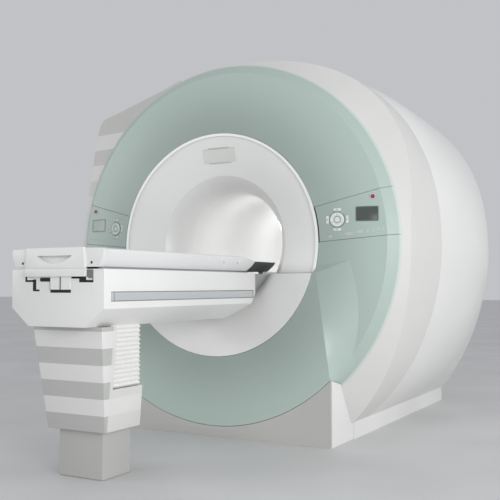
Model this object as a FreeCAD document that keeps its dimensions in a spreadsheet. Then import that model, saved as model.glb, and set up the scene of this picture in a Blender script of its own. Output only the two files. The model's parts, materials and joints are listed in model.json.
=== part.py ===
import FreeCAD, Part
import Sketcher
import math
import os

# A whole-body scanner: a ring magnet in moulded covers, and a patient table on a pedestal.
# Millimetres, +Z up. The origin is on the floor under the magnet's centre.
# +Y runs along the bore, from the table's end of the room to the rear. +X is the right-hand side.

os.makedirs("parts", exist_ok=True)
doc = FreeCAD.newDocument("scanner")
V = FreeCAD.Vector

# ---------------------------------------------------------------- driving dimensions
SIZES = [
    # magnet and bore
    ("bore_height", 1018), ("bore_radius", 300), ("tube_wall", 8), ("front_plane", -943),
    ("rear_plane", 971), ("cryostat_radius", 890), ("cryostat_bore", 450), ("cryostat_half", 640),
    ("gradient_wall", 92), ("gradient_half", 600), ("coil_half", 500), ("layer_gap", 0.3),
    ("foot_width", 240), ("foot_depth", 300), ("foot_spread", 470), ("foot_inset", 380),
    ("floor_plate", 12), ("turret_radius", 70), ("turret_height", 150), ("turret_place", 200),
    # ring cover, apron and funnel
    ("funnel_radius", 600), ("lower_funnel_radius", 596), ("ring_radius", 996),
    ("shoulder_radius", 940), ("shoulder_depth", 62), ("ring_depth", 112), ("cover_wall", 14),
    ("cover_gap", 2), ("apron_proud", 27), ("apron_radius", 960), ("crease_top", 597),
    ("crease_bottom", 671), ("apron_inset", 10), ("apron_spread", 22), ("split_drop", 157),
    ("flare_depth", 260), ("flare_lip", 380), ("lip_depth", 70), ("flare_wall", 8),
    ("dish_depth", 150), ("trim_width", 14), ("trim_proud", 5), ("window_width", 200),
    ("window_height", 74), ("window_rise", 486), ("window_sink", 2),
    # control panels
    ("panel_low_in", -6), ("panel_low_out", 31), ("panel_high_in", 172), ("panel_high_out", 284),
    ("panel_inner", 560), ("panel_x", 790), ("panel_rise", 115), ("panel_sink", 36),
    ("screen_width", 106), ("screen_height", 66), ("screen_u", 53), ("screen_v", 20),
    ("screen_depth", 4), ("screen_proud", 1), ("dial_u", -97), ("dial_v", -6),
    ("dial_radius", 36), ("dial_hub", 19), ("dial_depth", 10), ("dial_proud", 5),
    ("centre_radius", 14), ("key_reach", 50), ("key_length", 42), ("key_width", 15),
    ("key_depth", 17), ("key_proud", 4), ("key_gap", 0.4), ("stop_u", 82), ("stop_v", 105),
    ("stop_radius", 10), ("stop_proud", 7),
    # collar, barrel and base
    ("collar_half", 1036), ("collar_rise", 1012), ("collar_step", 170), ("facet_reach", 1007),
    ("flank_reach", 1027), ("rake_reach", 400), ("seam_depth", 480), ("seam_half", 1090),
    ("seam_rise", 1064), ("waist_depth", 800), ("waist_half", 1152), ("waist_rise", 1080),
    ("belly_depth", 1140), ("belly_half", 1168), ("belly_rise", 1102), ("hip_depth", 1500),
    ("hip_half", 1108), ("hip_rise", 1058), ("tail_depth", 1830), ("tail_half", 1028),
    ("tail_rise", 1022), ("rear_half", 1000), ("rear_rise", 953), ("shell_wall", 14),
    ("plinth_height", 88), ("plinth_half", 683), ("plinth_wall", 20), ("base_half", 675),
    ("base_depth", 266), ("base_wall", 14), ("cheek_drop", 690), ("frame_thick", 30),
    ("frame_front", 380), ("frame_rear", 1480),
    # table
    ("table_half", 243), ("table_start", -2178), ("table_end", -950), ("table_top", 864),
    ("table_belt", 707), ("table_bottom", 632), ("table_bottom_half", 150), ("table_wall", 8),
    ("table_round", 210), ("deck_thick", 14), ("rail_half", 190), ("rail_width", 26),
    ("slide_gap", 0.3), ("bridge_top", 861), ("accent_low", 738), ("accent_high", 772),
    ("accent_proud", 4), ("accent_start", -2120), ("accent_end", -985), ("cap_length", 14),
    ("pulley_radius", 30), ("pulley_width", 30), ("belt_thick", 4), ("pulley_height", 800),
    ("pulley_front", -2080), ("pulley_rear", -1060), ("bracket_half", 22),
    ("bracket_thick", 14), ("bracket_gap", 8), ("motor_radius", 45), ("motor_length", 150),
    ("dock_half", 110), ("dock_height", 60),
    # sliding tabletop
    ("top_low", 872), ("top_high", 946), ("top_floor", 910), ("top_waist", 900),
    ("top_lip", 16), ("top_taper", 24), ("dish_radius", 1400), ("top_end", -1000),
    ("nose_lean", 60), ("nose_length", 236), ("nose_high", 924), ("nose_slope", 110),
    ("end_slab", 24), ("end_plate", 14), ("plate_half", 157), ("plate_top_half", 150),
    ("lip_low", 834), ("plate_low", 866), ("plate_high", 950), ("grip_half", 93),
    ("grip_top", 918),
    ("grip_radius", 151), ("grip_depth", 22), ("pin_place", 182), ("pin_height", 889),
    ("pin_size", 8), ("socket_start", 562), ("socket_width", 56), ("socket_length", 122),
    ("socket_pitch", 128),
    ("socket_height", 26),
    # pedestal
    ("ped_front_top", -2116), ("ped_front_low", -2053), ("ped_back", -1818), ("ped_half_top", 184),
    ("ped_half_low", 152), ("ped_low", 200), ("ped_wall", 8), ("bellows_low", 374),
    ("bellows_half", 150), ("bellows_count", 14), ("bellows_wall", 8), ("pleat_depth", 9),
    ("corner_strip", 34), ("column_half", 60), ("column_depth", 90), ("column_wall", 12),
    ("column_split", 60), ("stand_half", 118), ("stand_thick", 16), ("stand_inset", 30),
]
sheet = doc.addObject("Spreadsheet::Sheet", "Dims")


class Size:
    """A length known both as a number and as the expression that the document keeps."""

    def __init__(self, value, text):
        self.value = float(value)
        self.text = text

    def __add__(self, other):
        other = size(other)
        return Size(self.value + other.value, f"({self.text} + {other.text})")

    def __sub__(self, other):
        other = size(other)
        return Size(self.value - other.value, f"({self.text} - {other.text})")

    def __mul__(self, other):
        other = size(other)
        return Size(self.value * other.value, f"({self.text} * {other.text})")

    def __truediv__(self, other):
        other = size(other)
        return Size(self.value / other.value, f"({self.text} / {other.text})")

    def __neg__(self):
        return Size(-self.value, f"(0 - {self.text})")

    def __radd__(self, other):
        return size(other) + self

    def __rsub__(self, other):
        return size(other) - self

    def __rmul__(self, other):
        return size(other) * self


def size(number):
    return number if isinstance(number, Size) else Size(number, repr(float(number)))


class Sheet:
    """Every driving dimension by its name."""


D = Sheet()
for row, (name, number) in enumerate(SIZES, start=1):
    sheet.set(f"A{row}", str(number))
    sheet.setAlias(f"A{row}", name)
    setattr(D, name, Size(number, "Dims." + name))
doc.recompute()

# ---------------------------------------------------------------- making pieces
nodes = []
counter = [0]
PLANES = {
    "XZ": FreeCAD.Rotation(V(1, 0, 0), 90),
    "XY": FreeCAD.Rotation(),
    "YZ": FreeCAD.Rotation(V(1, 1, 1), 120),
}
TURNS = {
    "X": FreeCAD.Rotation(V(0, 1, 0), 90),
    "Y": FreeCAD.Rotation(V(1, 0, 0), -90),
    "Z": FreeCAD.Rotation(),
}
FAR = 3000


def add(kind, label=None):
    counter[0] += 1
    piece = doc.addObject(kind, f"step{counter[0]}")
    if label:
        piece.Label = label
        nodes.append(piece)
    return piece


def bind(piece, **sizes):
    for prop, amount in sizes.items():
        piece.setExpression(prop, size(amount).text)


def place(piece, corner, turn=None):
    if turn:
        piece.Placement = FreeCAD.Placement(V(0, 0, 0), turn)
    for letter, amount in zip("xyz", corner):
        piece.setExpression(f"Placement.Base.{letter}", size(amount).text)
    return piece


def box(low, high, label=None):
    piece = add("Part::Box", label)
    bind(piece, Length=size(high[0]) - low[0], Width=size(high[1]) - low[1], Height=size(high[2]) - low[2])
    return place(piece, low)


def rod(radius, length, start, axis, label=None):
    piece = add("Part::Cylinder", label)
    bind(piece, Radius=radius, Height=length)
    return place(piece, start, TURNS[axis])


def cut(base, *tools, label=None):
    for tool in tools:
        piece = add("Part::Cut", label if tool is tools[-1] else None)
        piece.Base = base
        piece.Tool = tool
        base = piece
    return base


def fuse(*shapes, label=None):
    piece = add("Part::MultiFuse", label)
    piece.Shapes = list(shapes)
    return piece


def common(base, tool, label=None):
    piece = add("Part::Common", label)
    piece.Base = base
    piece.Tool = tool
    return piece


def group(*shapes, label):
    piece = add("Part::Compound", label)
    piece.Links = list(shapes)
    return piece


def sketch(plane, points, offset=(0, 0, 0)):
    """A closed outline. A point may carry a third value: the radius of the arc that leaves it,
    positive where the arc bows to the left of the way it runs."""
    outline = add("Sketcher::SketchObject")
    place(outline, offset, PLANES[plane])
    ends = []
    for index, point in enumerate(points):
        after = points[(index + 1) % len(points)]
        first = V(size(point[0]).value, size(point[1]).value, 0)
        last = V(size(after[0]).value, size(after[1]).value, 0)
        if len(point) == 2:
            number = outline.addGeometry(Part.LineSegment(first, last), False)
            ends.append((number, 1, 2))
            continue
        radius = size(point[2]).value
        chord = last - first
        reach = math.sqrt(radius * radius - chord.Length ** 2 / 4)
        centre = (first + last) * 0.5 + V(chord.y, -chord.x, 0).normalize() * math.copysign(reach, radius)
        begin, finish = (last, first) if radius > 0 else (first, last)
        turns = [math.atan2(end.y - centre.y, end.x - centre.x) for end in (begin, finish)]
        if turns[1] < turns[0]:
            turns[1] += 2 * math.pi
        circle = Part.Circle(centre, V(0, 0, 1), abs(radius))
        number = outline.addGeometry(Part.ArcOfCircle(circle, *turns), False)
        ends.append((number, 2, 1) if radius > 0 else (number, 1, 2))
        bow = outline.addConstraint(Sketcher.Constraint("Radius", number, abs(radius)))
        bowed = size(point[2]) if radius > 0 else -size(point[2])
        outline.setExpression(f"Constraints[{bow}]", bowed.text)
    for index, (number, start, end) in enumerate(ends):
        following = ends[(index + 1) % len(ends)]
        outline.addConstraint(Sketcher.Constraint("Coincident", number, end, following[0], following[1]))
    for (number, start, end), point in zip(ends, points):
        for kind, amount in (("DistanceX", size(point[0])), ("DistanceY", size(point[1]))):
            held = outline.addConstraint(Sketcher.Constraint(kind, -1, 1, number, start, amount.value))
            outline.setExpression(f"Constraints[{held}]", amount.text)
    return outline


def turned(profile, label=None):
    """A piece turned about the bore's axis from (radius, depth behind the front plane) points."""
    points = [(D.front_plane + point[1], D.bore_height + point[0], *point[2:]) for point in profile]
    piece = add("Part::Revolution", label)
    piece.Source = sketch("YZ", points)
    piece.Axis = V(0, 1, 0)
    piece.Angle = 360
    piece.Solid = True
    bind(piece, **{"Base.z": D.bore_height})
    return piece


def pushed(plane, points, start, length, label=None):
    """An outline pushed along the axis that its plane faces."""
    axis = {"XZ": V(0, 1, 0), "XY": V(0, 0, 1), "YZ": V(1, 0, 0)}[plane]
    offset = [size(start) if part else size(0) for part in axis]
    piece = add("Part::Extrusion", label)
    piece.Base = sketch(plane, points, offset)
    piece.DirMode = "Custom"
    piece.Dir = axis
    piece.Solid = True
    bind(piece, LengthFwd=length)
    return piece


def slab(low, high):
    """Everything between two heights."""
    return box((-FAR, -FAR, low), (FAR, FAR, high))


# ---------------------------------------------------------------- magnet, coils and bore
def ring(inner, outer, half, label):
    return turned([(inner, -D.front_plane - half), (outer, -D.front_plane - half),
                   (outer, -D.front_plane + half), (inner, -D.front_plane + half)], label)


def bore_rod(radius, start, length):
    """A solid cylinder on the bore's axis."""
    return rod(radius, length, (0, start, D.bore_height), "Y")


tube_outer = D.bore_radius + D.tube_wall
coil_inner = tube_outer + D.layer_gap
gradient_outer = D.cryostat_bore - D.layer_gap
ring(D.cryostat_bore, D.cryostat_radius, D.cryostat_half, "magnet_cryostat")
ring(gradient_outer - D.gradient_wall, gradient_outer, D.gradient_half, "gradient_coil")
coil_seat = gradient_outer - D.gradient_wall - D.layer_gap
ring(coil_inner, coil_seat, D.coil_half, "body_coil")
rear_depth = D.rear_plane - D.front_plane
tube_rear = rear_depth - D.flare_depth
turned([(D.bore_radius, D.flare_depth), (tube_outer, D.flare_depth),
        (tube_outer, tube_rear), (D.bore_radius, tube_rear)], "patient_tube")

bridge_start = D.front_plane + D.dish_depth
bridge_end = D.rear_plane - D.dish_depth
bridge_core = bore_rod(D.bore_radius - D.layer_gap, bridge_start, bridge_end - bridge_start)
common(bridge_core, slab(0, D.bridge_top), "table_bridge")


def magnet_space():
    """The room that the magnet's vessel takes, with a hair's gap."""
    return bore_rod(D.cryostat_radius + D.layer_gap, -D.cryostat_half, D.cryostat_half * 2)


foot_half = D.foot_width / 2
foot_reach = D.foot_depth / 2
supports = []
for side in (-1, 1):
    for end in (-1, 1):
        middle_x = D.foot_spread * side
        middle_y = D.foot_inset * end
        block = box((middle_x - foot_half, middle_y - foot_reach, 0),
                    (middle_x + foot_half, middle_y + foot_reach, D.bore_height / 2))
        supports.append(cut(block, magnet_space()))
plate_reach = D.foot_inset - foot_reach - D.layer_gap
supports.append(box((-D.foot_spread - foot_half, -plate_reach, 0),
                    (D.foot_spread + foot_half, plate_reach, D.floor_plate)))
group(*supports, label="magnet_feet")

turret_top = D.cryostat_radius + D.turret_height
turret_core = rod(D.turret_radius, turret_top, (0, D.turret_place, D.bore_height), "Z")
turret_head = rod(D.turret_radius * 1.5, D.turret_radius / 2,
                  (0, D.turret_place, D.bore_height + turret_top), "Z")
cut(fuse(turret_core, turret_head), magnet_space(), label="cold_head_turret")


# ---------------------------------------------------------------- moulded shells
FACET_TURN = math.radians(105.6)
FLANK_TURN = math.radians(172.4)
FLATTEST = 0.05
CORNER_SHARPNESS = 80
ARCH_STEPS = 40
LOWER_STEPS = 6


def cheek_reach(turn, rise, shrink):
    """How far the left cheek's outline lies from the axis: a sloping facet over a near-upright flank."""
    facet = (D.facet_reach.value - shrink) / max(math.cos(turn - FACET_TURN), FLATTEST)
    flank = (D.flank_reach.value - shrink) / max(math.cos(turn - FLANK_TURN), FLATTEST)
    corner = (facet ** -CORNER_SHARPNESS + flank ** -CORNER_SHARPNESS) ** (-1 / CORNER_SHARPNESS)
    return max(rise, corner)


def outline_wire(depth, half, rise, power, cheeked, inset):
    """The barrel's section: a squared arch over a half ellipse that lands on the plinth."""
    level = D.front_plane.value + depth
    centre = D.bore_height.value
    foot = centre - D.plinth_height.value
    drop = foot / math.sqrt(1 - (D.plinth_half.value / half) ** 2) - inset
    shrink = inset + (D.collar_half.value - half if cheeked else 0)
    half -= inset
    rise -= inset
    floor_half = half * math.sqrt(1 - (foot / drop) ** 2)
    arch = []
    for step in range(ARCH_STEPS + 1):
        turn = math.pi * step / ARCH_STEPS
        if cheeked and turn > math.pi / 2:
            reach = cheek_reach(turn, rise, shrink)
            arch.append(V(reach * math.cos(turn), level, centre + reach * math.sin(turn)))
            continue
        across = math.copysign(abs(math.cos(turn)) ** (2 / power), math.cos(turn))
        arch.append(V(half * across, level, centre + rise * math.sin(turn) ** (2 / power)))
    arch[-1] = V(-half, level, centre)
    lower = math.asin(foot / drop)
    curves = []
    for side in (-1, 1):
        points = [V(side * half * math.cos(lower * step / LOWER_STEPS), level,
                    centre - drop * math.sin(lower * step / LOWER_STEPS))
                  for step in range(LOWER_STEPS + 1)]
        curves.append(points if side < 0 else points[::-1])
    sides = []
    for points in (arch, curves[0], curves[1]):
        curve = Part.BSplineCurve()
        curve.interpolate(points)
        sides.append(curve.toShape())
    floor = Part.LineSegment(V(-floor_half, level, centre - foot), V(floor_half, level, centre - foot))
    return Part.Wire([sides[0], sides[1], floor.toShape(), sides[2]])


# Depth, half width, rise over the axis, squareness, and whether the left side has the cheek.
STATIONS = [
    (0, D.collar_half - 30, D.collar_rise - 16, 2.7, True),
    (D.collar_step, D.collar_half, D.collar_rise, 2.7, True),
    (D.seam_depth, D.seam_half, D.seam_rise, 2.25, False),
    (D.waist_depth, D.waist_half, D.waist_rise, 2.15, False),
    (D.belly_depth, D.belly_half, D.belly_rise, 2.0, False),
    (D.hip_depth, D.hip_half, D.hip_rise, 2.25, False),
    (D.tail_depth, D.tail_half, D.tail_rise, 2.38, False),
    (rear_depth, D.rear_half, D.rear_rise, 2.4, False),
]


def barrel(first, last, inset, label=None):
    """The moulded body between two stations, drawn in by an inset on every side."""
    wires = [outline_wire(size(depth).value, size(half).value, size(rise).value, power, cheeked, inset)
             for depth, half, rise, power, cheeked in STATIONS[first:last + 1]]
    piece = add("Part::Feature", label)
    piece.Shape = Part.makeLoft(wires, True, last - first == 1)
    return piece


RAKE_LEFT = 0.15
RAKE_RIGHT = 1.0
RIM_STEPS = 48
COLLAR_BACK = 2400


def collar_cone(shift):
    """The room behind the collar's raked front: nearly flat on the left, 45 degrees on the right."""
    shift = size(shift).value
    lip = D.ring_depth.value + shift
    inner = D.ring_radius.value + 1
    outer = inner + D.rake_reach.value
    rake = D.rake_reach.value * (RAKE_LEFT + RAKE_RIGHT) / 2
    twist = D.rake_reach.value * (RAKE_RIGHT - RAKE_LEFT) / 2
    wires = []
    for radius, depth, lean in ((inner, lip, 0), (outer, lip + rake, twist), (outer, COLLAR_BACK, 0)):
        points = []
        for step in range(RIM_STEPS):
            turn = 2 * math.pi * step / RIM_STEPS
            across = math.cos(turn)
            points.append(V(radius * across, D.front_plane.value + depth + lean * across,
                            D.bore_height.value + radius * math.sin(turn)))
        rim = Part.BSplineCurve()
        rim.interpolate(Points=points, PeriodicFlag=True)
        wires.append(Part.Wire([rim.toShape()]))
    piece = add("Part::Feature")
    piece.Shape = Part.makeLoft(wires, True, True)
    return piece


seam = D.front_plane + D.seam_depth
collar_skin = common(barrel(0, 2, 0), collar_cone(0))
collar_room = common(barrel(0, 2, D.shell_wall.value), collar_cone(D.shell_wall))
collar_hole = bore_rod(D.ring_radius - 22, D.front_plane - 200, 600)
cut(cut(collar_skin, collar_room), collar_hole, label="front_collar")

tail = D.front_plane + D.tail_depth
barrel_shell = cut(barrel(2, 6, 0), barrel(2, 6, D.shell_wall.value),
                   box((-FAR, tail - 3, 0), (FAR, FAR, FAR)),
                   box((-FAR, -FAR, 0), (FAR, seam + D.cover_gap, FAR)))
common(barrel_shell, box((D.cover_gap / 2, -FAR, 0), (FAR, FAR, FAR)), "side_cover_right")
common(barrel_shell, box((-FAR, -FAR, 0), (-D.cover_gap / 2, FAR, FAR)), "side_cover_left")

rear_skin = cut(barrel(6, 7, 0), box((-FAR, -FAR, 0), (FAR, tail, FAR)))
rear_hollow = common(barrel(6, 7, D.shell_wall.value),
                     box((-FAR, -FAR, 0), (FAR, D.rear_plane - D.shell_wall, FAR)))
cut(rear_skin, rear_hollow, bore_rod(D.funnel_radius + D.cover_gap, 0, FAR), label="rear_cover")

FRAME_CLEARANCE = 0.6


def frame_plate(depth, first, last, label):
    """A plate that stands on the magnet and carries the shells."""
    level = D.front_plane + depth
    plate = common(barrel(first, last, D.shell_wall.value + FRAME_CLEARANCE),
                   box((-FAR, level, 0), (FAR, level + D.frame_thick, FAR)))
    return cut(plate, magnet_space(), label=label)


frame_plate(D.frame_front, 0, 2, "front_cover_frame")
frame_plate(D.frame_rear, 4, 5, "rear_cover_frame")


# ---------------------------------------------------------------- ring cover, apron and funnel
def ring_body(shift):
    """The dished ring as a solid, its face moved back by a shift."""
    edge = D.ring_radius - shift
    shoulder = D.shoulder_radius
    back = [(edge, D.ring_depth), (D.flare_lip, D.ring_depth)]
    if size(shift).value > 0:
        shoulder = D.shoulder_radius - shift * 0.3
        back = [(edge, D.ring_depth), (edge, D.ring_depth + shift), (D.flare_lip, D.ring_depth + shift)]
    return turned([(D.flare_lip, shift), (D.funnel_radius, shift),
                   (shoulder, D.shoulder_depth + shift), *back])


def apron_body(shift):
    """The flat apron whose sides fall back to the ring's edge."""
    front = D.front_plane.value - D.apron_proud.value + shift
    back = D.front_plane.value + D.ring_depth.value + max(shift, 0) * 2
    level = D.bore_height.value

    def wire(depth, high, low, radius, outer):
        corner = [V(-low[0], depth, level + low[1]), V(low[0], depth, level + low[1]),
                  V(high[0], depth, level + high[1]), V(-high[0], depth, level + high[1])]
        bottom = Part.Arc(corner[0], V(0, depth, level - radius), corner[1]).toShape()
        if outer:
            turn = (math.atan2(low[1], low[0]) + math.atan2(high[1], high[0])) / 2
            middle = V(radius * math.cos(turn), depth, level + radius * math.sin(turn))
            right = Part.Arc(corner[1], middle, corner[2]).toShape()
            left = Part.Arc(corner[3], V(-middle.x, depth, middle.z), corner[0]).toShape()
        else:
            right = Part.LineSegment(corner[1], corner[2]).toShape()
            left = Part.LineSegment(corner[3], corner[0]).toShape()
        return Part.Wire([bottom, right, Part.LineSegment(corner[2], corner[3]).toShape(), left])

    inner = D.apron_radius.value - shift
    low_x = D.crease_bottom.value - shift
    low = (low_x, -math.sqrt(inner ** 2 - low_x ** 2))
    high = (D.crease_top.value - shift, -D.split_drop.value)
    outer = D.ring_radius.value - D.apron_inset.value - shift
    outer_x = D.crease_bottom.value + D.apron_spread.value - shift
    outer_low = (outer_x, -math.sqrt(outer ** 2 - outer_x ** 2))
    piece = add("Part::Feature")
    piece.Shape = Part.makeLoft([wire(front, high, low, inner, False),
                                 wire(back, (outer, 0), outer_low, outer, True)], True, True)
    return piece


WEDGE_MARGIN = 100
WIDE_OPEN = 1600


def wedge(side, low_in, low_out, high_in, high_out):
    """A sector of the ring seen along the bore, as an upright prism."""
    inner = (D.panel_inner - WEDGE_MARGIN) * side
    outer = (D.ring_radius + WEDGE_MARGIN) * side
    span = D.ring_radius - D.panel_inner
    slope_low = (D.panel_low_out - D.panel_low_in) / span * WEDGE_MARGIN
    slope_high = (D.panel_high_out - D.panel_high_in) / span * WEDGE_MARGIN
    points = [(inner, D.bore_height + low_in - slope_low), (outer, D.bore_height + low_out + slope_low),
              (outer, D.bore_height + high_out + slope_high), (inner, D.bore_height + high_in - slope_high)]
    return pushed("XZ", points, D.front_plane - 100, 400)


def face_opening(radius):
    """A round hole through the front covers."""
    return bore_rod(radius + D.cover_gap, D.front_plane - 200, 600)


ring_shell = cut(ring_body(size(0)), ring_body(D.cover_wall))
ring_open = cut(ring_shell, face_opening(D.funnel_radius))
panel_high_level = (D.panel_high_in, D.panel_high_out)
panel_low_level = (D.panel_low_in, D.panel_low_out)
arch_cutters = [wedge(side, -WIDE_OPEN, -WIDE_OPEN, *panel_high_level) for side in (-1, 1)]
below_axis = box((-D.panel_inner, -FAR, 0), (D.panel_inner, FAR, D.bore_height + D.panel_low_in))
cut(ring_open, *arch_cutters, below_axis, label="front_arch_cover")

opening_high = common(face_opening(D.funnel_radius), slab(D.bore_height - D.split_drop, FAR))
lower_keep = [wedge(side, *panel_low_level, WIDE_OPEN, WIDE_OPEN) for side in (-1, 1)]
above_axis = box((-D.panel_inner, -FAR, D.bore_height), (D.panel_inner, FAR, FAR))
apron_shell = cut(apron_body(0), apron_body(D.cover_wall.value))
ring_rest = cut(ring_open, *lower_keep, above_axis, apron_body(0))
cut(fuse(ring_rest, apron_shell), face_opening(D.lower_funnel_radius), opening_high,
    label="front_lower_cover")


def flare(edge, start, inner, wall, back):
    """A trumpet from its edge on the face to the bore, of an even wall."""
    level = D.bore_height.value
    lip = start + D.lip_depth

    def spot(radius, depth):
        return V(0, D.front_plane.value + size(depth).value, level + size(radius).value)

    def bowed(first, last, rise):
        chord = last - first
        side = V(0, chord.z, -chord.y).normalize() * rise
        return Part.Arc(first, (first + last) * 0.5 + side, last).toShape()

    face = [spot(edge, start), spot(D.flare_lip, lip), spot(inner, back)]
    hidden = [spot(inner + wall, back), spot(D.flare_lip + wall, lip + wall * 1.6), spot(edge, start + wall)]
    edges = [bowed(face[0], face[1], 4), bowed(face[1], face[2], 22), Part.makeLine(face[2], hidden[0]),
             bowed(hidden[0], hidden[1], -22), bowed(hidden[1], hidden[2], -4),
             Part.makeLine(hidden[2], face[0])]
    piece = add("Part::Feature")
    piece.Shape = Part.Face(Part.Wire(edges)).revolve(V(0, 0, level), V(0, 1, 0), 360)
    return piece


upper_half = slab(D.bore_height - D.split_drop + D.cover_gap, FAR)
lower_half = slab(0, D.bore_height - D.split_drop)


def window_room(gap):
    """The upright prism of the lamp window, drawn in by a gap."""
    middle = D.bore_height + D.window_rise
    across = D.window_width / 2 - gap
    upward = D.window_height / 2 - gap
    return box((-across, -FAR, middle - upward), (across, 0, middle + upward))


mouth = flare(D.funnel_radius, size(0), D.bore_radius, D.flare_wall, D.flare_depth)
cut(common(mouth, upper_half), window_room(0), label="funnel_upper")
pane = flare(D.funnel_radius, D.window_sink, D.bore_radius, D.flare_wall * 0.6, D.flare_depth)
common(pane, window_room(D.layer_gap), "light_window")
lower_mouth = flare(D.lower_funnel_radius, -D.apron_proud - 2, D.bore_radius, D.flare_wall, D.dish_depth)
common(lower_mouth, lower_half, "funnel_lower")
trim = turned([(D.funnel_radius - D.trim_width, -D.trim_proud), (D.funnel_radius, -D.trim_proud),
               (D.funnel_radius, 0), (D.funnel_radius - D.trim_width, 0)])
common(trim, upper_half, "funnel_trim")
rear_sweep = D.flare_depth * 2.2
turned([(D.funnel_radius, rear_depth, rear_sweep), (D.bore_radius, tube_rear),
        (tube_outer, tube_rear, -rear_sweep), (D.funnel_radius, rear_depth - D.flare_wall)], "rear_funnel")

# ---------------------------------------------------------------- control panels
TILT = 10.0
LEAN = -1.5


def panel_frame(side):
    """The place and turn of a panel's face: local X outwards along it, local -Y out of it."""
    spot = V(D.panel_x.value * side, D.front_plane.value + D.panel_sink.value,
             D.bore_height.value + D.panel_rise.value)
    turn = FreeCAD.Rotation(V(0, 0, 1), TILT * side) * FreeCAD.Rotation(V(1, 0, 0), LEAN)
    return FreeCAD.Placement(spot, turn)


def on_panel(side, piece, at, turn=None):
    """Moves a piece made at the origin to a place (along, out of, up) on a panel."""
    local = FreeCAD.Placement(V(*[size(part).value for part in at]), turn or FreeCAD.Rotation())
    piece.Placement = panel_frame(side) * local
    return piece


def key_block(side, wide, tall, deep, proud, at, label=None):
    piece = add("Part::Box", label)
    bind(piece, Length=wide, Width=deep, Height=tall)
    return on_panel(side, piece, (at[0] - size(wide) / 2, -size(proud), at[1] - size(tall) / 2))


def round_block(side, radius, deep, proud, at, label=None):
    piece = add("Part::Cylinder", label)
    bind(piece, Radius=radius, Height=deep)
    return on_panel(side, piece, (at[0], -size(proud), at[1]), TURNS["Y"])


KEYS = {"up": (0, 1), "down": (0, -1), "in": (-1, 0), "out": (1, 0)}
OUT = 40
THROUGH = 80
for side, word in ((-1, "left"), (1, "right")):
    plate = common(ring_open, wedge(side, D.panel_low_in + D.cover_gap, D.panel_low_out + D.cover_gap,
                                    D.panel_high_in - D.cover_gap, D.panel_high_out - D.cover_gap))
    dial_at = (D.dial_u * side, D.dial_v)
    stop_at = (D.stop_u * side, D.stop_v)
    screen_at = (D.screen_u * side, D.screen_v)
    dial_pocket = cut(round_block(side, D.dial_radius + D.key_gap, OUT + D.dial_depth, OUT, dial_at),
                      round_block(side, D.dial_hub - D.key_gap, THROUGH, OUT, dial_at))
    pockets = [round_block(side, D.centre_radius + D.key_gap, THROUGH, OUT, dial_at),
               round_block(side, D.stop_radius + D.key_gap, THROUGH, OUT, stop_at),
               key_block(side, D.screen_width, D.screen_height, OUT + D.screen_depth, OUT, screen_at),
               dial_pocket]
    for name, (across, upward) in KEYS.items():
        wide = D.key_length if upward else D.key_width
        tall = D.key_width if upward else D.key_length
        spot = (dial_at[0] + D.key_reach * across * side, dial_at[1] + D.key_reach * upward)
        pockets.append(key_block(side, wide + D.key_gap * 2, tall + D.key_gap * 2, THROUGH, OUT, spot))
        key_block(side, wide, tall, D.key_depth + D.key_proud, D.key_proud, spot, f"key_{name}_{word}")
    cut(plate, *pockets, label=f"control_panel_{word}")
    key_block(side, D.screen_width - D.layer_gap * 2, D.screen_height - D.layer_gap * 2,
              D.screen_depth + D.screen_proud, D.screen_proud, screen_at, f"display_{word}")
    key_height = D.key_depth + D.key_proud
    round_block(side, D.centre_radius, key_height, D.key_proud, dial_at, f"centre_button_{word}")
    round_block(side, D.stop_radius, D.key_depth + D.stop_proud, D.stop_proud, stop_at, f"stop_button_{word}")
    dial_height = D.dial_depth + D.dial_proud - D.layer_gap
    cut(round_block(side, D.dial_radius, dial_height, D.dial_proud, dial_at),
        round_block(side, D.dial_hub, THROUGH, OUT, dial_at), label=f"dial_ring_{word}")

# ---------------------------------------------------------------- base
base_front = D.front_plane - D.apron_proud
panel_back = base_front + D.base_wall
front_block = box((-D.base_half, base_front, 0), (D.base_half, panel_back, D.bore_height - D.split_drop))
apron_clear = apron_body(-D.cover_gap.value)
cut(front_block, face_opening(D.apron_radius), apron_clear, label="base_front_panel")
collar_clear = common(barrel(0, 2, -1), collar_cone(-1))
ring_clear = ring_body(-D.cover_gap)


def between(near, far, side):
    """Two distances from the middle as low and high on one side."""
    return (near * side, far * side) if side > 0 else (far * side, near * side)


cheeks = []
plinths = []
base_back = D.front_plane + D.base_depth
plinth_inner = D.plinth_half - D.plinth_wall
for side in (-1, 1):
    low_x, high_x = between(D.base_half - D.base_wall, D.base_half, side)
    cheek = box((low_x, panel_back, 0), (high_x, base_back, D.bore_height - D.cheek_drop))
    cheeks.append(cut(cheek, collar_clear, apron_clear, ring_clear))
    low_x, high_x = between(plinth_inner, D.plinth_half, side)
    plinths.append(box((low_x, base_back + D.cover_gap / 2, 0), (high_x, D.rear_plane, D.plinth_height)))
plinths.append(box((-plinth_inner, D.rear_plane - D.plinth_wall, 0),
                   (plinth_inner, D.rear_plane, D.plinth_height)))
group(*cheeks, label="base_side_panels")
group(*plinths, label="plinth_panels")

# ---------------------------------------------------------------- table
BELLY_SAG = 10


def table_solid(inset):
    """The table's body: a chamfered beam whose far lower corner is rounded."""
    half = D.table_half - inset
    keel_half = D.table_bottom_half - inset * 0.6
    keel = D.table_bottom + inset
    across = pushed("XZ", [(-half, D.table_top), (-half, D.table_belt), (-keel_half, keel), (keel_half, keel),
                           (half, D.table_belt), (half, D.table_top)],
                    D.table_start, D.table_end - D.table_start)
    start = D.table_start + inset
    end = D.table_end - inset
    along = pushed("YZ", [(start, D.table_top), (start, keel - BELLY_SAG),
                          (D.table_end - D.table_round * 1.6, keel - BELLY_SAG, -D.table_round * 1.5),
                          (end, D.table_belt + 50), (end, D.table_top)],
                   -D.table_half, D.table_half * 2)
    return common(across, along)


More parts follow.
